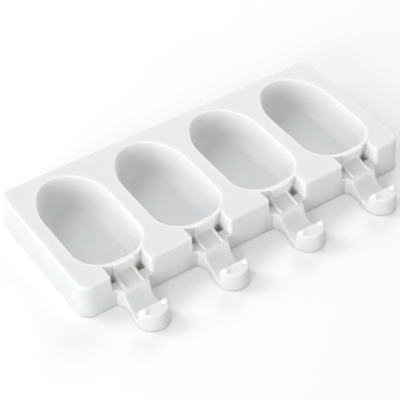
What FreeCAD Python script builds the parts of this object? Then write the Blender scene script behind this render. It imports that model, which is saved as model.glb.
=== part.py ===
import FreeCAD, Part
import math
import os

from FreeCAD import Vector

# Ice pop mould: one silicone tray with four bar cavities and a flexible stick holder in front of each.
# Millimetres. X runs along the row of cavities, the stick holders point to -Y, +Z is up.
# The origin lies in the middle of the whole footprint, on the plane the mould stands on.

# Tray
TRAY_HEIGHT = 19.3
SKIRT_DRAFT = 3.5
CORNER_RADIUS = 6.0
SKIRT_WALL = 2.0
DECK_THICKNESS = 2.0
DECK_EDGE_RADIUS = 0.8
DECK_EDGE_STEPS = 3

# Cavities
CAVITY_COUNT = 4
CAVITY_WIDTH = 38.0
CAVITY_LENGTH = 69.1
CAVITY_DEPTH = 18.0
CAVITY_GAP = 8.6
CAVITY_SIDE_MARGIN = 8.45
CAVITY_FRONT_MARGIN = 8.5
CAVITY_BACK_MARGIN = 6.6
CAVITY_DRAFT = 8.0
CAVITY_WALL = 2.0
CAVITY_FLOOR_RADIUS = 7.0
CAVITY_FLOOR_STEPS = 5
UNDERSIDE_STEPS = 3
FRONT_CORNER_OFFSET = 3.0
FRONT_TIP_RADIUS = 56.0
BACK_SHOULDER_OFFSET = 12.5
BACK_TIP_RADIUS = 15.5
FRONT_CORNER_RADIUS = CAVITY_WIDTH / 2 - FRONT_CORNER_OFFSET
BACK_SHOULDER_RADIUS = CAVITY_WIDTH / 2 + BACK_SHOULDER_OFFSET
CAVITY_PITCH = CAVITY_WIDTH + CAVITY_GAP
DECK_LENGTH = (CAVITY_COUNT - 1) * CAVITY_PITCH + CAVITY_WIDTH + 2 * CAVITY_SIDE_MARGIN
DECK_DEPTH = CAVITY_BACK_MARGIN + CAVITY_LENGTH + CAVITY_FRONT_MARGIN

# Notch in front of each cavity
NOTCH_WIDTH = 22.2
NOTCH_WALL = 2.0
SHELF_HEIGHT = 10.0
HOUSING_OVERLAP = 5.0
GATE_WIDTH = 12.2
GATE_THICKNESS = 0.8
WELL_LENGTH = 3.2
WELL_FLOOR = 4.0

# Stick and its slot
STICK_WIDTH = 8.0
STICK_THICKNESS = 2.0
SLOT_SIDE_CLEARANCE = 0.2
SLOT_SQUEEZE = 0.2
SLOT_SILL = 11.2
GUIDE_CLEARANCE = 0.4
GUIDE_WIDTH = 1.5
GUIDE_RISE = 0.9
GUIDE_LENGTH = 9.6
RAMP_LENGTH = 5.6

# Flexible arm
ARM_DRAFT = 4.0
ARM_ROOT_WIDTH = 19.4
ARM_WAIST_WIDTH = 15.0
ARM_WAIST_REACH = 7.2
ARM_CREST_REACH = 2.7
ARM_DIP_HEIGHT = 3.1
DROP_ANGLE = 62.0
DROP_RADIUS = 7.2

# Head of the arm
HEAD_WIDTH = 17.6
HEAD_REACH = 25.9
HEAD_NECK = 3.0
HEAD_HEIGHT = 10.3
HEAD_BACK_RADIUS = 3.0
NUB_DIAMETER = 3.4
NUB_HEIGHT = 1.6
NUB_CLEARANCE = 0.2
NUB_SETBACK = 2.3

ABOVE = 4.0


def slope(degrees):
    return math.tan(math.radians(degrees))


def front_face(z):
    """Y of the front skirt at a height."""
    return -DECK_DEPTH / 2 - (TRAY_HEIGHT - z) * slope(SKIRT_DRAFT)


def cavity_middles():
    first = -(CAVITY_COUNT - 1) / 2 * CAVITY_PITCH
    return [first + i * CAVITY_PITCH for i in range(CAVITY_COUNT)]


def closed(edges):
    return Part.Wire(Part.__sortEdges__(edges))


def polygon(points):
    return Part.Face(Part.makePolygon(points + [points[0]]))


def rounded_rectangle(length, depth, radius, z):
    """Wire around the Z axis with tangent corner arcs."""
    x, y, r = length / 2, depth / 2, radius
    k = r * (1 - math.sqrt(0.5))
    edges = []
    for sx, sy in ((1, 1), (-1, 1), (-1, -1), (1, -1)):
        a = Vector(sx * x, sy * (y - r), z)
        b = Vector(sx * (x - k), sy * (y - k), z)
        c = Vector(sx * (x - r), sy * y, z)
        edges.append(Part.Arc(a, b, c).toShape())
    edges.append(Part.makeLine(Vector(x - r, y, z), Vector(-x + r, y, z)))
    edges.append(Part.makeLine(Vector(-x, y - r, z), Vector(-x, -y + r, z)))
    edges.append(Part.makeLine(Vector(-x + r, -y, z), Vector(x - r, -y, z)))
    edges.append(Part.makeLine(Vector(x, -y + r, z), Vector(x, y - r, z)))
    return closed(edges)


def skirt_outline(inset, z):
    """Outline of the skirt at a height, moved inwards by an inset."""
    out = (TRAY_HEIGHT - z) * slope(SKIRT_DRAFT) - inset
    radius = max(CORNER_RADIUS + out, 0.5)
    return rounded_rectangle(DECK_LENGTH + 2 * out, DECK_DEPTH + 2 * out, radius, z)


def quarter_steps(radius, draft, steps):
    """Pairs of run-in and height along an arc from a drafted side round to the level."""
    start = math.radians(draft)
    pairs = []
    for i in range(steps + 1):
        t = start + (math.pi / 2 - start) * i / steps
        pairs.append((radius * (math.cos(start) - math.cos(t)), radius * (1 - math.sin(t))))
    return pairs


def tray_block():
    """Outside of the tray with its rounded deck edge."""
    wires = [skirt_outline(0, 0)]
    r = DECK_EDGE_RADIUS
    for run, below in quarter_steps(r, SKIRT_DRAFT, DECK_EDGE_STEPS):
        z = TRAY_HEIGHT - below
        level = TRAY_HEIGHT - quarter_steps(r, SKIRT_DRAFT, 1)[0][1]
        wires.append(skirt_outline(run + (level - z) * slope(SKIRT_DRAFT), z))
    return Part.makeLoft(wires, True, True)


def tray_hollow():
    """Room under the deck, inside the skirt."""
    wires = [skirt_outline(SKIRT_WALL, z) for z in (-1, TRAY_HEIGHT - DECK_THICKNESS)]
    return Part.makeLoft(wires, True, True)


def arc(middle, radius, start, end):
    """Arc about a point in its own level, between two angles in degrees."""
    points = []
    for angle in (start, (start + end) / 2, end):
        t = math.radians(angle)
        points.append(middle + Vector(math.cos(t), math.sin(t), 0) * radius)
    return Part.Arc(*points).toShape()


def end_arcs(side, tip, half, flank_radius, tip_radius, z):
    """Three tangent arcs from one long side round to the other, with the Y where they start."""
    run = math.sqrt((tip_radius - flank_radius) ** 2 - (half - flank_radius) ** 2)
    rise = math.copysign(run, tip_radius - flank_radius)
    join = tip - side * (tip_radius - rise)
    turn = math.degrees(math.atan2(rise, half - flank_radius))
    if rise < 0:
        turn += 180
    right = Vector(half - flank_radius, join, z)
    left = Vector(flank_radius - half, join, z)
    middle = Vector(0, tip - side * tip_radius, z)
    edges = [
        arc(right, flank_radius, 0, side * turn),
        arc(middle, tip_radius, side * turn, side * (180 - turn)),
        arc(left, flank_radius, side * (180 - turn), side * 180),
    ]
    return edges, join


def cavity_outline(inset, z):
    """Outline of a cavity: straight long sides, a full back end and a squarer front end."""
    half = CAVITY_WIDTH / 2 - inset
    back = DECK_DEPTH / 2 - CAVITY_BACK_MARGIN - inset
    front = DECK_DEPTH / 2 - CAVITY_BACK_MARGIN - CAVITY_LENGTH + inset
    back_radii = (BACK_SHOULDER_RADIUS - inset, BACK_TIP_RADIUS - inset)
    front_radii = (FRONT_CORNER_RADIUS - inset, FRONT_TIP_RADIUS - inset)
    back_arcs, back_join = end_arcs(1, back, half, *back_radii, z)
    front_arcs, front_join = end_arcs(-1, front, half, *front_radii, z)
    right = Part.makeLine(Vector(half, front_join, z), Vector(half, back_join, z))
    left = Part.makeLine(Vector(-half, back_join, z), Vector(-half, front_join, z))
    return Part.Wire([right] + back_arcs + [left] + front_arcs[::-1])


def bowl(skin, top, floor, steps):
    """Bar-shaped bowl down to a floor level: a drafted wall that runs round into the floor."""
    def inset(z):
        return (TRAY_HEIGHT - z) * slope(CAVITY_DRAFT) - skin

    outlines = [cavity_outline(inset(top), top)]
    turn = quarter_steps(CAVITY_FLOOR_RADIUS, CAVITY_DRAFT, steps)
    bend = floor + turn[0][1]
    for run, above in turn:
        outlines.append(cavity_outline(inset(bend) + run, floor + above))
    return Part.makeLoft(outlines, True, True)


def notch_prism(wall, low, high):
    """Prism with the notch's drafted flanks, from inside the cavity to in front of the tray."""
    points = []
    for z in (low, high):
        half = NOTCH_WIDTH / 2 - (TRAY_HEIGHT - z) * slope(SKIRT_DRAFT) + wall
        points.append((half, z))
    (a, za), (b, zb) = points
    y = front_face(low) - ABOVE
    face = polygon([Vector(-a, y, za), Vector(a, y, za), Vector(b, y, zb), Vector(-b, y, zb)])
    return face.extrude(Vector(0, wall_y(SHELF_HEIGHT) + HOUSING_OVERLAP - y, 0))


def notch_room():
    """Room over the shelf, with a well in each back corner."""
    room = notch_prism(0, SHELF_HEIGHT, TRAY_HEIGHT + ABOVE)
    deep = notch_prism(0, WELL_FLOOR, SHELF_HEIGHT + 1)
    y = wall_y(SHELF_HEIGHT) - WELL_LENGTH
    for x in (-GATE_WIDTH / 2 - NOTCH_WIDTH, GATE_WIDTH / 2):
        box = Part.makeBox(NOTCH_WIDTH, WELL_LENGTH * 3, TRAY_HEIGHT, Vector(x, y, 0))
        room = room.fuse(deep.common(box))
    return room


def wall_y(z):
    """Y of the cavity's outside at the middle of its front end."""
    inset = (TRAY_HEIGHT - z) * slope(CAVITY_DRAFT)
    return DECK_DEPTH / 2 - CAVITY_BACK_MARGIN - CAVITY_LENGTH + inset - CAVITY_WALL


def gate(outer):
    """Thicker strip of the cavity's front wall that the stick passes through."""
    strip = outer.copy()
    strip.translate(Vector(0, -GATE_THICKNESS, 0))
    reach = CAVITY_WALL + GATE_THICKNESS + FRONT_CORNER_RADIUS / 2
    low = Vector(-GATE_WIDTH / 2, wall_y(TRAY_HEIGHT) - GATE_THICKNESS - 1, SHELF_HEIGHT - 1)
    box = Part.makeBox(GATE_WIDTH, reach, TRAY_HEIGHT - SHELF_HEIGHT + 1, low)
    return strip.common(box)


def slot():
    """Slit for the stick, through the gate and into the cavity."""
    half = STICK_WIDTH / 2 + SLOT_SIDE_CLEARANCE
    low = Vector(-half, wall_y(TRAY_HEIGHT) - GATE_THICKNESS - 1, SLOT_SILL)
    reach = CAVITY_WALL + GATE_THICKNESS + FRONT_CORNER_RADIUS / 2
    return Part.makeBox(2 * half, reach, STICK_THICKNESS - SLOT_SQUEEZE, low)


def upright(shape, test):
    """Edges of a shape that run mostly along Z and pass the test on their middle."""
    found = []
    for edge in shape.Edges:
        low, high = edge.BoundBox.ZMin, edge.BoundBox.ZMax
        if high - low > 0.8 * edge.Length and test(edge.CenterOfMass):
            found.append(edge)
    return found


def guides():
    """Stick guide on the shelf: a ramp up to the slot between two low rails."""
    inner = STICK_WIDTH / 2 + GUIDE_CLEARANCE
    half = inner + GUIDE_WIDTH
    back = wall_y(SLOT_SILL) + CAVITY_WALL / 2
    top = wall_y(SLOT_SILL) - GATE_THICKNESS
    foot = top - RAMP_LENGTH
    front = top - GUIDE_LENGTH
    base = SHELF_HEIGHT - 2
    ramp = [(back, SLOT_SILL), (top, SLOT_SILL), (foot, SHELF_HEIGHT), (front, SHELF_HEIGHT)]
    rails = [Vector(-half, y, z + GUIDE_RISE) for y, z in ramp]
    body = polygon([Vector(-half, back, base)] + rails + [Vector(-half, front, base)])
    body = body.extrude(Vector(2 * half, 0, 0))
    body = body.makeFillet(GUIDE_WIDTH * 0.45, upright(body, lambda p: p.y < front + 0.1))
    floor = [Vector(-inner, y, z) for y, z in ramp]
    floor[-1] = Vector(-inner, front - 1, SHELF_HEIGHT)
    channel = polygon(floor + [Vector(-inner, front - 1, TRAY_HEIGHT), Vector(-inner, back, TRAY_HEIGHT)])
    return body.cut(channel.extrude(Vector(2 * inner, 0, 0)))


def shoulder_y():
    """Y of the head's widest line, where its round nose starts."""
    return front_face(0) - HEAD_REACH + HEAD_WIDTH / 2


def arm_outline(inset, z):
    """Plan of the arm at a height: flared root, waist, and out again to the head's width."""
    y0 = front_face(0)
    root = ARM_ROOT_WIDTH / 2 - inset
    waist = ARM_WAIST_WIDTH / 2 - inset
    head = HEAD_WIDTH / 2 - inset
    middle = y0 - ARM_WAIST_REACH
    neck = shoulder_y() + HEAD_NECK
    inside = -DECK_DEPTH / 2 + SKIRT_WALL

    def sweep(side, half, y):
        """Arc that leaves the waist along Y and reaches a half width at a Y."""
        span, sag = y - middle, half - waist
        radius = (span * span + sag * sag) / (2 * sag)
        t = math.asin(span / radius) / 2
        mid = Vector(side * (waist + radius * (1 - math.cos(t))), middle + radius * math.sin(t), z)
        return Part.Arc(Vector(side * waist, middle, z), mid, Vector(side * half, y, z)).toShape()

    def across(half, y):
        return Part.makeLine(Vector(-half, y, z), Vector(half, y, z))

    def along(x, start, end):
        return Part.makeLine(Vector(x, start, z), Vector(x, end, z))

    edges = [across(root, inside), across(head, shoulder_y())]
    for side in (-1, 1):
        edges.append(along(side * root, inside, y0))
        edges.append(sweep(side, root, y0))
        edges.append(sweep(side, head, neck))
        edges.append(along(side * head, neck, shoulder_y()))
    return closed(edges)


def arm_profile():
    """Side view of the arm: level root, hooked dip, and up again at the head's back."""
    y0 = front_face(0)
    crest = y0 - ARM_CREST_REACH
    back = shoulder_y()
    inside = -DECK_DEPTH / 2 + SKIRT_WALL
    r = HEAD_BACK_RADIUS
    d = ARM_DIP_HEIGHT
    fall = math.radians(DROP_ANGLE)
    foot = DROP_RADIUS * (1 - math.cos(fall))
    dip = crest - (SHELF_HEIGHT - d - foot) / math.tan(fall) - DROP_RADIUS * math.sin(fall)

    def p(y, z):
        return Vector(-HEAD_WIDTH, y, z)

    def on_drop(angle):
        return p(dip + DROP_RADIUS * math.sin(angle), d + DROP_RADIUS * (1 - math.cos(angle)))

    bend = p(back + r * (1 - math.sqrt(0.5)), d + r * (1 - math.sqrt(0.5)))
    edges = [
        Part.makeLine(p(inside, 0), p(inside, SHELF_HEIGHT)),
        Part.makeLine(p(inside, SHELF_HEIGHT), p(crest, SHELF_HEIGHT)),
        Part.makeLine(p(crest, SHELF_HEIGHT), on_drop(fall)),
        Part.Arc(on_drop(fall), on_drop(fall / 2), on_drop(0)).toShape(),
        Part.makeLine(p(dip, d), p(back + r, d)),
        Part.Arc(p(back + r, d), bend, p(back, d + r)).toShape(),
        Part.makeLine(p(back, d + r), p(back, 0)),
        Part.makeLine(p(back, 0), p(inside, 0)),
    ]
    return Part.Face(closed(edges)).extrude(Vector(2 * HEAD_WIDTH, 0, 0))


def head():
    """Half-round head with a flat back, leaning in towards its top."""
    r = HEAD_WIDTH / 2
    middle = Vector(0, shoulder_y(), 0)
    body = Part.makeCone(r, r - HEAD_HEIGHT * slope(ARM_DRAFT), HEAD_HEIGHT, middle)
    back = Part.makeBox(2 * r, r, HEAD_HEIGHT, middle - Vector(r, 0, 0))
    return body.cut(back)


def nub(side):
    """Peg that keeps the stick's end from sliding sideways."""
    r = NUB_DIAMETER / 2
    x = side * (STICK_WIDTH / 2 + NUB_CLEARANCE + r)
    y = shoulder_y() - NUB_SETBACK
    return Part.makeCylinder(r, NUB_HEIGHT + 1, Vector(x, y, HEAD_HEIGHT - 1))


def arm():
    """Arm with its head, drafted on every side."""
    high = HEAD_HEIGHT + ABOVE
    plan = Part.makeLoft([arm_outline(0, 0), arm_outline(high * slope(ARM_DRAFT), high)], True, True)
    return plan.common(arm_profile()).fuse(head())


def mould():
    block = tray_block()
    housing = notch_prism(NOTCH_WALL, 0, TRAY_HEIGHT).common(block)
    skin = bowl(CAVITY_WALL, TRAY_HEIGHT, 0, UNDERSIDE_STEPS)
    inside = bowl(0, TRAY_HEIGHT + ABOVE, TRAY_HEIGHT - CAVITY_DEPTH, CAVITY_FLOOR_STEPS)
    added = [skin, gate(skin), guides(), arm(), nub(-1), nub(1)]
    places = [Vector(x, 0, 0) for x in cavity_middles()]
    tray = block.cut(tray_hollow()).fuse([housing.translated(at) for at in places])
    tray = tray.cut([notch_room().translated(at) for at in places])
    tray = tray.fuse([piece.translated(at) for at in places for piece in added])
    return tray.cut([piece.translated(at) for at in places for piece in (inside, slot())])


os.makedirs("parts", exist_ok=True)
shape = mould()
shape.translate(Vector(0, HEAD_REACH / 2, 0))
shape.Solids[0].exportStep("parts/mould.step")
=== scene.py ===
import math

import bpy
from mathutils import Matrix, Vector


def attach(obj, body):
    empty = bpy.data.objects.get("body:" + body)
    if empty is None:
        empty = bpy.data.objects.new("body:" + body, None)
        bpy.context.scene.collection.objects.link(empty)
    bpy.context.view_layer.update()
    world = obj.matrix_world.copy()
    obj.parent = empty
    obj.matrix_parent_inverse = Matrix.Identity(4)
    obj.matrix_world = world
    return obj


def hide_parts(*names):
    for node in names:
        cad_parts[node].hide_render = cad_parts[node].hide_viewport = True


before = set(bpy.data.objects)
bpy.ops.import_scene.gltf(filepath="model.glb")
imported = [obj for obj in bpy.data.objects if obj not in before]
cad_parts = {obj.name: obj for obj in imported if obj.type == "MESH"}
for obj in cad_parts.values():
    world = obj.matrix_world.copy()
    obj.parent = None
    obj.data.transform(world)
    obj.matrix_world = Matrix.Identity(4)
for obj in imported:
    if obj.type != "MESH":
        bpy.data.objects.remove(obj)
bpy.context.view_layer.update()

# Sizes in metres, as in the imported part. X runs along the row of cavities, the arms point to -Y.

# Tray
HEIGHT = 0.0193
SKIRT_DRAFT = 3.5
TRAY_CORNER = 0.006
SKIRT_WALL = 0.002
DECK_THICKNESS = 0.002
DECK_EDGE = 0.0010
FOOT_EDGE = 0.0005

# Cavities
COUNT = 4
CAVITY_WIDTH = 0.038
CAVITY_LENGTH = 0.0691
CAVITY_DEPTH = 0.018
CAVITY_GAP = 0.0086
SIDE_MARGIN = 0.00845
FRONT_MARGIN = 0.0085
BACK_MARGIN = 0.0066
CAVITY_DRAFT = 8.0
CAVITY_WALL = 0.002
RIM_ROUND = 0.0005
FLOOR_ROUND = 0.007
FRONT_CORNER = 0.016
FRONT_TIP = 0.056
BACK_SHOULDER = 0.0315
BACK_TIP = 0.0155

# Notches
NOTCH_WIDTH = 0.0222
NOTCH_MOUTH = 0.0014
NOTCH_RIM = 0.0003
MOUTH_TURN = 80.0
SHELF = 0.010
HOUSING_WALL = 0.002
HOUSING_OVERLAP = 0.005
HOUSING_SETBACK = 0.0005
GATE_WIDTH = 0.0122
GATE_PROUD = 0.0008
WELL_LENGTH = 0.0032
WELL_FLOOR = 0.004
WELL_ROUND = 0.0012
SLOT_WIDTH = 0.0084
SLOT_SILL = 0.0112
SLOT_HEIGHT = 0.0018

# Stick guides
GUIDE_INNER = 0.0044
GUIDE_WIDTH = 0.0015
GUIDE_RISE = 0.0009
GUIDE_LENGTH = 0.0096
GUIDE_ROUND = 0.0006
RAMP_LENGTH = 0.0056

# Arms
ARM_DRAFT = 4.0
ARM_ROOT = 0.0194
ARM_WAIST = 0.015
WAIST_REACH = 0.0072
CREST_REACH = 0.0027
DROP_ANGLE = 62.0
DROP_ROUND = 0.0072
DIP_HEIGHT = 0.0031
HEAD_WIDTH = 0.0176
HEAD_REACH = 0.0259
HEAD_NECK = 0.003
HEAD_HEIGHT = 0.0103
HEAD_BACK_ROUND = 0.003
ARM_EDGE = 0.0008
NUB_WIDTH = 0.0034
NUB_HEIGHT = 0.0016
NUB_SIDE = 0.0059
NUB_SETBACK = 0.0023
NUB_DOME = 0.8
NUB_DOME_TURN = 75

# Places worked out from the sizes
PITCH = CAVITY_WIDTH + CAVITY_GAP
DECK_LENGTH = (COUNT - 1) * PITCH + CAVITY_WIDTH + 2 * SIDE_MARGIN
DECK_DEPTH = BACK_MARGIN + CAVITY_LENGTH + FRONT_MARGIN
TRAY_MIDDLE = HEAD_REACH / 2
DECK_FRONT = TRAY_MIDDLE - DECK_DEPTH / 2
CAVITY_FRONT = DECK_FRONT + FRONT_MARGIN
CAVITY_BACK = CAVITY_FRONT + CAVITY_LENGTH

# How far a tool piece reaches past what it cuts or joins
ABOVE = 0.004
BELOW = 0.002
SUNK = 0.001
TINY = 0.00002

# Fineness of the mesh: degrees to a facet, and points that are merged
ARC_STEP = 5.0
ARM_STEP = 8.0
ARM_MERGE = 0.0008
SLIVER = 0.00004
SMOOTH_ANGLE = 28

# The camera as the photograph was taken, in metres and degrees
CAMERA_TARGET = Vector((-0.0049, 0.0092, 0.0))
CAMERA_DISTANCE = 0.7113
CAMERA_AZIMUTH = -32.86
CAMERA_ELEVATION = 42.94
CAMERA_ROLL = -1.44
CAMERA_LENS = 121.9

# Studio. Each lamp has its bearing and height in degrees, its power in watts and its size.
LAMP_DISTANCE = 1.5
LAMPS = (
    ("left_window", 205, 13, 12.0, 0.8),
    ("back_right_fill", 45, 30, 6.0, 0.8),
    ("back_left_fill", 135, 40, 6.8, 0.8),
    ("front_low_fill", 290, 5, 2.5, 0.25),
)
ROOM_LIGHT = 0.56
FLOOR_BOUNCE = 0.42


def slope(degrees):
    """Run for each unit of rise on a face that leans by an angle."""
    return math.tan(math.radians(degrees))


def wall_front(z):
    """Y of a cavity's outside at the middle of its front end."""
    return CAVITY_FRONT + (HEIGHT - z) * slope(CAVITY_DRAFT) - CAVITY_WALL


def foot_front(z):
    """Y of the tray's front face at a height."""
    return DECK_FRONT - (HEIGHT - z) * slope(SKIRT_DRAFT)


# Outlines, drawn from point to point in edit mode

def start_outline(name, point):
    """New piece in edit mode with one vertex, where its outline starts."""
    bpy.ops.object.select_all(action="DESELECT")
    bpy.ops.mesh.primitive_plane_add(size=0.001, location=(0, 0, 0))
    piece = bpy.context.object
    piece.name = name
    bpy.ops.object.mode_set(mode="EDIT")
    bpy.ops.mesh.select_mode(type="VERT")
    bpy.ops.mesh.select_all(action="SELECT")
    bpy.ops.mesh.merge(type="CENTER")
    bpy.ops.transform.translate(value=point)
    return piece


def run(x, y, z=0.0):
    """Straight stretch of outline."""
    bpy.ops.mesh.extrude_region_move(TRANSFORM_OT_translate={"value": (x, y, z)})


def turn(middle, degrees, axis=(0, 0, 1), step=ARC_STEP):
    """Round stretch of outline about a point, anticlockwise as seen from the axis's end."""
    steps = max(2, round(abs(degrees) / step))
    bpy.ops.mesh.spin(steps=steps, angle=-math.radians(degrees), center=middle, axis=axis)


def close_outline():
    """Face inside the finished outline, looking up."""
    bpy.ops.mesh.select_all(action="SELECT")
    bpy.ops.mesh.remove_doubles(threshold=0.000002)
    bpy.ops.mesh.edge_face_add()
    bpy.ops.object.mode_set(mode="OBJECT")
    upside_down = bpy.context.object.data.polygons[0].normal.z < 0
    bpy.ops.object.mode_set(mode="EDIT")
    if upside_down:
        bpy.ops.mesh.flip_normals()


def inset_steps(steps):
    """From the selected face, a ring of faces for each pair of run-in and rise."""
    for run_in, rise in steps:
        bpy.ops.mesh.inset(thickness=run_in, depth=rise, use_even_offset=True)


def finish_solid():
    """The open end gets its face, and every face points outwards."""
    bpy.ops.mesh.select_all(action="DESELECT")
    bpy.ops.mesh.select_mode(type="EDGE")
    bpy.ops.mesh.select_non_manifold()
    bpy.ops.mesh.edge_face_add()
    bpy.ops.mesh.select_all(action="SELECT")
    bpy.ops.mesh.normals_make_consistent(inside=False)
    bpy.ops.object.mode_set(mode="OBJECT")


def sweep_solid(x, y=0.0, z=0.0):
    """The closed outline is pushed along a straight line into a solid."""
    bpy.ops.mesh.extrude_region_move(TRANSFORM_OT_translate={"value": (x, y, z)})
    bpy.ops.mesh.select_all(action="SELECT")
    bpy.ops.mesh.normals_make_consistent(inside=False)
    bpy.ops.object.mode_set(mode="OBJECT")


def round_steps(radius, start, end, count, way):
    """Run-in and rise along an arc. Angles are measured from the vertical side."""
    angles = [math.radians(start + (end - start) * i / count) for i in range(count + 1)]
    steps = []
    for a, b in zip(angles, angles[1:]):
        run_in = radius * abs(math.cos(a) - math.cos(b))
        rise = radius * abs(math.sin(a) - math.sin(b))
        steps.append((run_in, way * rise))
    return steps


def plain_box(name, low, high):
    """Plain block between two corners."""
    bpy.ops.object.select_all(action="DESELECT")
    bpy.ops.mesh.primitive_cube_add(size=1, location=(0, 0, 0))
    piece = bpy.context.object
    piece.name = name
    low, high = Vector(low), Vector(high)
    bpy.ops.object.mode_set(mode="EDIT")
    bpy.ops.transform.resize(value=high - low)
    bpy.ops.transform.translate(value=(low + high) / 2)
    bpy.ops.object.mode_set(mode="OBJECT")
    return piece


def pick(piece):
    """Makes a piece the only one that is selected."""
    bpy.ops.object.select_all(action="DESELECT")
    bpy.context.view_layer.objects.active = piece
    piece.select_set(True)


def move_piece(piece, x, y, z):
    """Moves a piece inside its own mesh, so that its origin stays put."""
    pick(piece)
    bpy.ops.object.mode_set(mode="EDIT")
    bpy.ops.mesh.select_all(action="SELECT")
    bpy.ops.transform.translate(value=(x, y, z))
    bpy.ops.object.mode_set(mode="OBJECT")


def repeat_along_row(piece):
    """Copies a piece to every cavity of the row, inside its own mesh."""
    move_piece(piece, -(COUNT - 1) / 2 * PITCH, 0, 0)
    bpy.ops.object.mode_set(mode="EDIT")
    bpy.ops.mesh.select_all(action="SELECT")
    for _ in range(COUNT - 1):
        bpy.ops.mesh.duplicate_move(TRANSFORM_OT_translate={"value": (PITCH, 0, 0)})
    bpy.ops.object.mode_set(mode="OBJECT")
    return piece


def combine(piece, other, operation):
    """Joins, cuts or intersects a piece with another one, which is used up."""
    pick(piece)
    boolean = piece.modifiers.new("boolean", "BOOLEAN")
    boolean.operation = operation
    boolean.object = other
    boolean.solver = "EXACT"
    bpy.ops.object.modifier_apply(modifier=boolean.name)
    bpy.data.objects.remove(other)
    return piece


def round_edges(piece, test, radius, steps):
    """Rounds the sharp edges whose two ends pass a test."""
    pick(piece)
    bpy.ops.object.mode_set(mode="EDIT")
    bpy.ops.mesh.select_mode(type="EDGE")
    bpy.ops.mesh.select_all(action="DESELECT")
    bpy.ops.mesh.edges_select_sharp(sharpness=math.radians(25))
    bpy.ops.object.mode_set(mode="OBJECT")
    points = piece.data.vertices
    for edge in piece.data.edges:
        edge.select = edge.select and all(test(points[i].co) for i in edge.vertices)
    bpy.ops.object.mode_set(mode="EDIT")
    bpy.ops.mesh.bevel(offset=radius, segments=steps, affect="EDGES", clamp_overlap=False)
    bpy.ops.object.mode_set(mode="OBJECT")


def merge_close(piece, distance):
    """Merges points that lie close together, so that no sliver is left to shade badly."""
    pick(piece)
    bpy.ops.object.mode_set(mode="EDIT")
    bpy.ops.mesh.select_all(action="SELECT")
    bpy.ops.mesh.remove_doubles(threshold=distance)
    bpy.ops.mesh.normals_make_consistent(inside=False)
    bpy.ops.object.mode_set(mode="OBJECT")


# Tray

def rounded_rectangle(name, length, depth, radius, z):
    """Closed outline about the tray's middle, anticlockwise."""
    x, y, r = length / 2, depth / 2, radius
    m = TRAY_MIDDLE
    piece = start_outline(name, (x, m - y + r, z))
    run(0, 2 * (y - r))
    turn((x - r, m + y - r, z), 90)
    run(-2 * (x - r), 0)
    turn((-x + r, m + y - r, z), 90)
    run(0, -2 * (y - r))
    turn((-x + r, m - y + r, z), 90)
    run(2 * (x - r), 0)
    turn((x - r, m - y + r, z), 90)
    close_outline()
    return piece


def model_block():
    """Outside of the tray, from its foot up the drafted skirt and over the rounded deck edge."""
    lean = math.radians(SKIRT_DRAFT)
    side = HEIGHT - DECK_EDGE * (1 - math.sin(lean))
    out = HEIGHT * slope(SKIRT_DRAFT)
    size = (DECK_LENGTH + 2 * out, DECK_DEPTH + 2 * out)
    piece = rounded_rectangle("block", *size, TRAY_CORNER + out, 0)
    inset_steps([(side * slope(SKIRT_DRAFT), side)])
    inset_steps(round_steps(DECK_EDGE, SKIRT_DRAFT, 90, 5, 1))
    finish_solid()
    round_edges(piece, lambda p: p.z < TINY, FOOT_EDGE, 3)
    return piece


def model_hollow():
    """Room under the deck, inside the skirt."""
    low = -BELOW
    high = HEIGHT - DECK_THICKNESS
    out = (HEIGHT - low) * slope(SKIRT_DRAFT) - SKIRT_WALL
    size = (DECK_LENGTH + 2 * out, DECK_DEPTH + 2 * out)
    piece = rounded_rectangle("hollow", *size, TRAY_CORNER + out, low)
    inset_steps([((high - low) * slope(SKIRT_DRAFT), high - low)])
    finish_solid()
    return piece


# Cavities

def end_shape(half, flank, tip):
    """Angle of the flank arc, and how far the arcs' start lies from the tip's middle."""
    rise = math.sqrt((tip - flank) ** 2 - (half - flank) ** 2)
    if tip < flank:
        rise = -rise
    angle = math.degrees(math.atan2(rise, half - flank))
    return (angle + 180 if rise < 0 else angle), rise


def cavity_outline(name, grow, z):
    """Cavity's outline, grown outwards by a distance: full back end, squarer front end."""
    half = CAVITY_WIDTH / 2 + grow
    shoulder, back_tip = BACK_SHOULDER + grow, BACK_TIP + grow
    corner, front_tip = FRONT_CORNER + grow, FRONT_TIP + grow
    back_angle, back_rise = end_shape(half, shoulder, back_tip)
    front_angle, front_rise = end_shape(half, corner, front_tip)
    back_middle = CAVITY_BACK + grow - back_tip
    front_middle = CAVITY_FRONT - grow + front_tip
    back_join = back_middle + back_rise
    front_join = front_middle - front_rise
    piece = start_outline(name, (half, front_join, z))
    run(0, back_join - front_join)
    turn((half - shoulder, back_join, z), back_angle)
    turn((0, back_middle, z), 180 - 2 * back_angle)
    turn((shoulder - half, back_join, z), back_angle)
    run(0, front_join - back_join)
    turn((corner - half, front_join, z), front_angle)
    turn((0, front_middle, z), 180 - 2 * front_angle)
    turn((half - corner, front_join, z), front_angle)
    close_outline()
    return piece


def model_bowl(name, wall, top, floor, rim):
    """Bar-shaped bowl from above the deck down: rounded rim, drafted wall, round into the floor."""
    lean = math.radians(CAVITY_DRAFT)
    rim_out = rim * math.tan((math.pi / 2 - lean) / 2)
    rim_fall = rim * (1 - math.sin(lean))
    floor_fall = FLOOR_ROUND * (1 - math.sin(lean))
    start = min(top, HEIGHT)
    grow = wall + rim_out - (HEIGHT - start) * slope(CAVITY_DRAFT)
    piece = cavity_outline(name, grow, top)
    if top > HEIGHT:
        inset_steps([(0, HEIGHT - top)])
    if rim:
        inset_steps(round_steps(rim, 90, CAVITY_DRAFT, 4, -1))
    side = start - rim_fall - floor_fall - floor
    inset_steps([(side * slope(CAVITY_DRAFT), -side)])
    inset_steps(round_steps(FLOOR_ROUND, CAVITY_DRAFT, 90, 9, -1))
    finish_solid()
    return piece


# Notches

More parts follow.
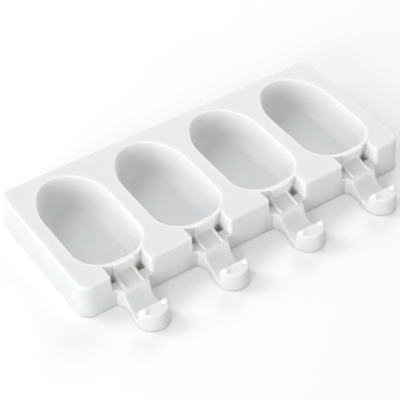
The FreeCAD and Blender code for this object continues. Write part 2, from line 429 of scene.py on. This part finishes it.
def model_housing():
    """Solid mass round a notch, inside the tray."""
    half = NOTCH_WIDTH / 2 + HOUSING_WALL
    back = wall_front(SHELF) + HOUSING_OVERLAP
    foot = half - HEIGHT * slope(SKIRT_DRAFT)
    front = DECK_FRONT + HOUSING_SETBACK
    top = HEIGHT - SUNK
    piece = start_outline("housing", (foot, front, 0.0))
    run(half - foot, 0, top)
    run(-2 * half, 0)
    run(half - foot, 0, -top)
    run(2 * foot, 0)
    close_outline()
    sweep_solid(0, back - front)
    return piece


def model_room():
    """Room over the shelf: drafted flanks with a small rim, and a mouth that flares forwards."""
    rim_out = NOTCH_RIM * math.tan(math.radians(90 - SKIRT_DRAFT) / 2)
    half = NOTCH_WIDTH / 2 + rim_out
    side = NOTCH_WIDTH / 2 + NOTCH_MOUTH
    back = wall_front(SHELF) + HOUSING_OVERLAP / 2
    flare = DECK_FRONT + NOTCH_MOUTH
    front = DECK_FRONT - 2 * ABOVE
    top = HEIGHT + ABOVE
    open_way = math.radians(MOUTH_TURN)
    arc_x = side - (side - half) * math.cos(open_way)
    arc_y = flare - (side - half) * math.sin(open_way)
    wing_x, wing_y = ABOVE * math.sin(open_way), ABOVE * math.cos(open_way)
    piece = start_outline("room", (half, back, top))
    run(-2 * half, 0)
    run(0, flare - back)
    turn((-side, flare, top), -MOUTH_TURN)
    run(-wing_x, -wing_y)
    run(0, front - (arc_y - wing_y))
    run(2 * (arc_x + wing_x), 0)
    run(0, (arc_y - wing_y) - front)
    run(-wing_x, wing_y)
    turn((side, flare, top), -MOUTH_TURN)
    close_outline()
    inset_steps([(0, -ABOVE)])
    inset_steps(round_steps(NOTCH_RIM, 90, SKIRT_DRAFT, 3, -1))
    depth = HEIGHT - SHELF - NOTCH_RIM * (1 - math.sin(math.radians(SKIRT_DRAFT)))
    inset_steps([(depth * slope(SKIRT_DRAFT), -depth)])
    finish_solid()
    return piece


def model_well(side):
    """Deep pocket in a back corner of a notch, with rounded corners."""
    inner = GATE_WIDTH / 2 + TINY
    outer = NOTCH_WIDTH / 2 - (HEIGHT - SHELF) * slope(SKIRT_DRAFT) - TINY
    xs = sorted((side * inner, side * outer))
    front = wall_front(SHELF) - WELL_LENGTH
    top = SHELF + 2 * WELL_ROUND
    well = plain_box("well", (xs[0], front, WELL_FLOOR), (xs[1], front + 2 * WELL_LENGTH, top))
    round_edges(well, lambda p: True, WELL_ROUND, 4)
    return well


def model_gate():
    """Thicker strip of the cavity's front wall that the stick passes through."""
    gate = model_bowl("gate", CAVITY_WALL, HEIGHT + 2 * ABOVE, 0, 0)
    move_piece(gate, 0, -GATE_PROUD, 0)
    half = GATE_WIDTH / 2
    front, back = wall_front(HEIGHT) - ABOVE - SUNK, wall_front(HEIGHT) + 2 * ABOVE
    strip = plain_box("strip", (-half, front, -SUNK), (half, back, HEIGHT + 3 * ABOVE))
    return combine(gate, strip, "INTERSECT")


def model_notch():
    """All that is cut away for a notch, in front of the cavity's wall and its gate."""
    room = model_room()
    for side in (-1, 1):
        room = combine(room, model_well(side), "UNION")
    wall = model_bowl("wall", CAVITY_WALL, HEIGHT + 2 * ABOVE, 0, 0)
    room = combine(room, wall, "DIFFERENCE")
    return combine(room, model_gate(), "DIFFERENCE")


def model_slot():
    """Slit for the stick, through the gate and into the cavity."""
    half = SLOT_WIDTH / 2
    front, back = wall_front(HEIGHT) - 0.003, wall_front(HEIGHT) + 0.007
    return plain_box("slot", (-half, front, SLOT_SILL), (half, back, SLOT_SILL + SLOT_HEIGHT))


def guide_profile(name, x, rise):
    """Side view of the ramp up to the slot, raised by the height of a rail."""
    back = wall_front(SLOT_SILL) + CAVITY_WALL / 2
    top = wall_front(SLOT_SILL) - GATE_PROUD
    front = top - GUIDE_LENGTH
    base = SHELF - BELOW
    piece = start_outline(name, (x, back, base))
    run(0, 0, SLOT_SILL + rise - base)
    run(0, top - back)
    run(0, -RAMP_LENGTH, SHELF - SLOT_SILL)
    run(0, front - (top - RAMP_LENGTH))
    run(0, 0, base - SHELF - rise)
    close_outline()
    return piece, front


def model_guide():
    """Ramp up to the slot between two low rails with round ends."""
    ramp, front = guide_profile("guide", -GUIDE_INNER, 0.0)
    sweep_solid(2 * GUIDE_INNER)
    for x in (-GUIDE_INNER - GUIDE_WIDTH, GUIDE_INNER):
        rail, front = guide_profile("rail", x, GUIDE_RISE)
        sweep_solid(GUIDE_WIDTH)
        round_edges(rail, lambda p: p.y < front + 0.0001, GUIDE_ROUND, 4)
        ramp = combine(ramp, rail, "UNION")
    return ramp


# Arms

def model_arm_plan():
    """Plan of an arm and its round head, drafted upwards."""
    waist_y = foot_front(0) - WAIST_REACH
    shoulder = foot_front(0) - HEAD_REACH + HEAD_WIDTH / 2
    neck = shoulder + HEAD_NECK
    root, waist, head = ARM_ROOT / 2, ARM_WAIST / 2, HEAD_WIDTH / 2

    def sweep(half, y):
        """Radius and angle of the arc from the waist to a half width at some Y."""
        span, sag = abs(y - waist_y), half - waist
        radius = (span * span + sag * sag) / (2 * sag)
        return radius, math.degrees(math.asin(span / radius))

    def bend(x, degrees):
        """Arc of the waist about a middle that lies out at X."""
        turn((x, waist_y, 0), degrees, step=ARM_STEP)

    root_radius, root_angle = sweep(root, foot_front(0))
    neck_radius, neck_angle = sweep(head, neck)
    inside = foot_front(0) + ABOVE
    piece = start_outline("arm", (-root, inside, 0))
    run(0, foot_front(0) - inside)
    bend(-waist - root_radius, -root_angle)
    bend(-waist - neck_radius, -neck_angle)
    run(0, shoulder - neck)
    turn((0, shoulder, 0), 180, step=ARM_STEP)
    run(0, neck - shoulder)
    bend(waist + neck_radius, -neck_angle)
    bend(waist + root_radius, -root_angle)
    run(0, inside - foot_front(0))
    close_outline()
    high = HEAD_HEIGHT + SUNK
    inset_steps([(high * slope(ARM_DRAFT), high)])
    finish_solid()
    return piece


def model_arm_profile():
    """Side view of an arm: level root, hooked dip, and the head with its upright back."""
    x = -HEAD_WIDTH
    crest = foot_front(0) - CREST_REACH
    shoulder = foot_front(0) - HEAD_REACH + HEAD_WIDTH / 2
    fall = math.radians(DROP_ANGLE)
    level = SHELF - DIP_HEIGHT - DROP_ROUND * (1 - math.cos(fall))
    dip = crest - level / math.tan(fall) - DROP_ROUND * math.sin(fall)
    inside = foot_front(0) + ABOVE + BELOW
    nose = foot_front(0) - HEAD_REACH - BELOW
    foot = -BELOW
    back = shoulder + HEAD_BACK_ROUND

    def bend(y, radius, degrees):
        """Arc that rises from the bottom of the dip."""
        turn((x, y, DIP_HEIGHT + radius), degrees, axis=(1, 0, 0), step=ARM_STEP)

    piece = start_outline("profile", (x, inside, foot))
    run(0, 0, SHELF - foot)
    run(0, crest - inside)
    run(0, -level / math.tan(fall), -level)
    bend(dip, DROP_ROUND, -DROP_ANGLE)
    run(0, back - dip)
    bend(back, HEAD_BACK_ROUND, -90)
    run(0, 0, HEAD_HEIGHT - DIP_HEIGHT - HEAD_BACK_ROUND)
    run(0, nose - shoulder)
    run(0, 0, foot - HEAD_HEIGHT)
    close_outline()
    sweep_solid(2 * HEAD_WIDTH)
    return piece


def model_nub(side):
    """Domed peg on the head."""
    radius = NUB_WIDTH / 2
    dome = NUB_HEIGHT * NUB_DOME
    y = foot_front(0) - HEAD_REACH + HEAD_WIDTH / 2 - NUB_SETBACK
    low = HEAD_HEIGHT - SUNK
    piece = start_outline("nub", (side * NUB_SIDE + radius, y, low))
    turn((side * NUB_SIDE, y, low), 360)
    close_outline()
    inset_steps([(0, NUB_HEIGHT + SUNK - dome)])
    for run_in, rise in round_steps(1.0, 0, NUB_DOME_TURN, 5, 1):
        inset_steps([(run_in * radius, rise * dome)])
    finish_solid()
    return piece


def model_arm():
    """One arm with its head and pegs, all its edges softly rounded."""
    arm = combine(model_arm_plan(), model_arm_profile(), "INTERSECT")
    merge_close(arm, ARM_MERGE)
    soften = arm.modifiers.new("soften", "BEVEL")
    soften.width = ARM_EDGE
    soften.segments = 4
    soften.limit_method = "ANGLE"
    soften.angle_limit = math.radians(40)
    soften.use_clamp_overlap = False
    pick(arm)
    bpy.ops.object.modifier_apply(modifier=soften.name)
    merge_close(arm, SLIVER)
    for side in (-1, 1):
        arm = combine(arm, model_nub(side), "UNION")
    return arm


def model_mould():
    """The whole moulding, put together as its tool would shape it."""
    mould = combine(model_block(), model_hollow(), "DIFFERENCE")
    skin = model_bowl("skin", CAVITY_WALL, HEIGHT - SUNK, 0, 0)
    for piece in (model_housing(), skin, model_arm()):
        mould = combine(mould, repeat_along_row(piece), "UNION")
    mould = combine(mould, repeat_along_row(model_notch()), "DIFFERENCE")
    mould = combine(mould, repeat_along_row(model_guide()), "UNION")
    bowl = model_bowl("bowl", 0, HEIGHT + ABOVE, HEIGHT - CAVITY_DEPTH, RIM_ROUND)
    for piece in (bowl, model_slot()):
        mould = combine(mould, repeat_along_row(piece), "DIFFERENCE")
    mould.name = "white_mould"
    pick(mould)
    bpy.ops.object.shade_smooth_by_angle(angle=math.radians(SMOOTH_ANGLE))
    even = mould.modifiers.new("even", "WEIGHTED_NORMAL")
    even.keep_sharp = True
    even.weight = 80
    bpy.ops.object.modifier_apply(modifier=even.name)
    return mould


# Looks

def silicone_material():
    """Matt white food silicone: soft sheen, light that sinks in, fine mould texture."""
    material = bpy.data.materials.new("white_silicone")
    material.use_nodes = True
    nodes, links = material.node_tree.nodes, material.node_tree.links
    shader = nodes["Principled BSDF"]
    shader.inputs["Subsurface Weight"].default_value = 1.0
    shader.inputs["Subsurface Radius"].default_value = (1.0, 0.97, 0.92)
    shader.inputs["Subsurface Scale"].default_value = 0.0025
    shader.inputs["IOR"].default_value = 1.41
    shader.inputs["Specular IOR Level"].default_value = 0.35
    place = nodes.new("ShaderNodeTexCoord")

    cloud = nodes.new("ShaderNodeTexNoise")
    cloud.inputs["Scale"].default_value = 40.0
    cloud.inputs["Detail"].default_value = 3.0
    links.new(place.outputs["Object"], cloud.inputs["Vector"])
    tone = nodes.new("ShaderNodeValToRGB")
    tone.color_ramp.elements[0].color = (0.80, 0.80, 0.80, 1)
    tone.color_ramp.elements[1].color = (0.84, 0.84, 0.84, 1)
    links.new(cloud.outputs["Fac"], tone.inputs["Fac"])
    links.new(tone.outputs["Color"], shader.inputs["Base Color"])

    matt = nodes.new("ShaderNodeMapRange")
    matt.inputs["To Min"].default_value = 0.42
    matt.inputs["To Max"].default_value = 0.54
    links.new(cloud.outputs["Fac"], matt.inputs["Value"])
    links.new(matt.outputs["Result"], shader.inputs["Roughness"])

    grain = nodes.new("ShaderNodeTexNoise")
    grain.inputs["Scale"].default_value = 2500.0
    grain.inputs["Detail"].default_value = 2.0
    links.new(place.outputs["Object"], grain.inputs["Vector"])
    bump = nodes.new("ShaderNodeBump")
    bump.inputs["Strength"].default_value = 0.12
    bump.inputs["Distance"].default_value = 0.0001
    links.new(grain.outputs["Fac"], bump.inputs["Height"])
    links.new(bump.outputs["Normal"], shader.inputs["Normal"])
    return material


def seen_rays(nodes, links):
    """1 for what the camera and the reflections see, 0 for the light that is thrown about."""
    path = nodes.new("ShaderNodeLightPath")
    either = nodes.new("ShaderNodeMath")
    either.operation = "MAXIMUM"
    links.new(path.outputs["Is Camera Ray"], either.inputs[0])
    links.new(path.outputs["Is Glossy Ray"], either.inputs[1])
    every = nodes.new("ShaderNodeMath")
    every.operation = "MAXIMUM"
    links.new(either.outputs["Value"], every.inputs[0])
    links.new(path.outputs["Is Transmission Ray"], every.inputs[1])
    return every.outputs["Value"]


def floor_material():
    """White floor that throws only part of its light back on the object."""
    material = bpy.data.materials.new("pale_floor")
    material.use_nodes = True
    nodes, links = material.node_tree.nodes, material.node_tree.links
    shader = nodes["Principled BSDF"]
    shader.inputs["Roughness"].default_value = 0.9
    shader.inputs["Specular IOR Level"].default_value = 0.1
    tone = nodes.new("ShaderNodeMix")
    tone.data_type = "RGBA"
    tone.inputs["A"].default_value = (FLOOR_BOUNCE, FLOOR_BOUNCE, FLOOR_BOUNCE, 1)
    tone.inputs["B"].default_value = (1, 1, 1, 1)
    links.new(seen_rays(nodes, links), tone.inputs["Factor"])
    links.new(tone.outputs["Result"], shader.inputs["Base Color"])
    return material


def add_floor(material):
    """Plain floor that the mould stands on."""
    bpy.ops.object.select_all(action="DESELECT")
    bpy.ops.mesh.primitive_plane_add(size=8, location=(0, 0, 0))
    floor = bpy.context.object
    floor.name = "floor"
    floor.data.materials.append(material)


def add_lamp(name, azimuth, elevation, power, size):
    """Square soft lamp that looks at the part. Bearing 0 is its right, 90 its back."""
    a, e = math.radians(azimuth), math.radians(elevation)
    place = Vector((math.cos(a) * math.cos(e), math.sin(a) * math.cos(e), math.sin(e)))
    data = bpy.data.lights.new(name, "AREA")
    data.size = size
    data.energy = power
    lamp = bpy.data.objects.new(name, data)
    bpy.context.scene.collection.objects.link(lamp)
    lamp.location = place * LAMP_DISTANCE
    lamp.rotation_euler = place.to_track_quat("Z", "Y").to_euler()


def add_world(strength):
    """Even light from all round, with a white surround for the camera and the reflections."""
    world = bpy.data.worlds.new("studio")
    world.use_nodes = True
    nodes, links = world.node_tree.nodes, world.node_tree.links
    background = nodes["Background"]
    background.inputs["Color"].default_value = (1, 1, 1, 1)
    level = nodes.new("ShaderNodeMapRange")
    level.inputs["To Min"].default_value = strength
    level.inputs["To Max"].default_value = 1.0
    links.new(seen_rays(nodes, links), level.inputs["Value"])
    links.new(level.outputs["Result"], background.inputs["Strength"])
    bpy.context.scene.world = world


def add_camera():
    """Camera where the photographer's stood, turned about the part and tilted down at it."""
    data = bpy.data.cameras.new("camera")
    data.lens = CAMERA_LENS
    data.sensor_width = 36
    camera = bpy.data.objects.new("camera", data)
    bpy.context.scene.collection.objects.link(camera)
    swing = Matrix.Rotation(math.radians(CAMERA_AZIMUTH), 4, "Z")
    tilt = Matrix.Rotation(math.radians(90 - CAMERA_ELEVATION), 4, "X")
    roll = Matrix.Rotation(math.radians(CAMERA_ROLL), 4, "Z")
    pose = swing @ tilt @ roll
    back = pose.to_3x3() @ Vector((0, 0, 1))
    camera.matrix_world = Matrix.Translation(CAMERA_TARGET + back * CAMERA_DISTANCE) @ pose
    bpy.context.scene.camera = camera


mould = model_mould()
mould.data.materials.clear()
mould.data.materials.append(silicone_material())
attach(mould, "root")
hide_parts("mould")

add_floor(floor_material())
add_world(ROOM_LIGHT)
for lamp in LAMPS:
    add_lamp(*lamp)
add_camera()
bpy.context.scene.view_settings.view_transform = "Standard"
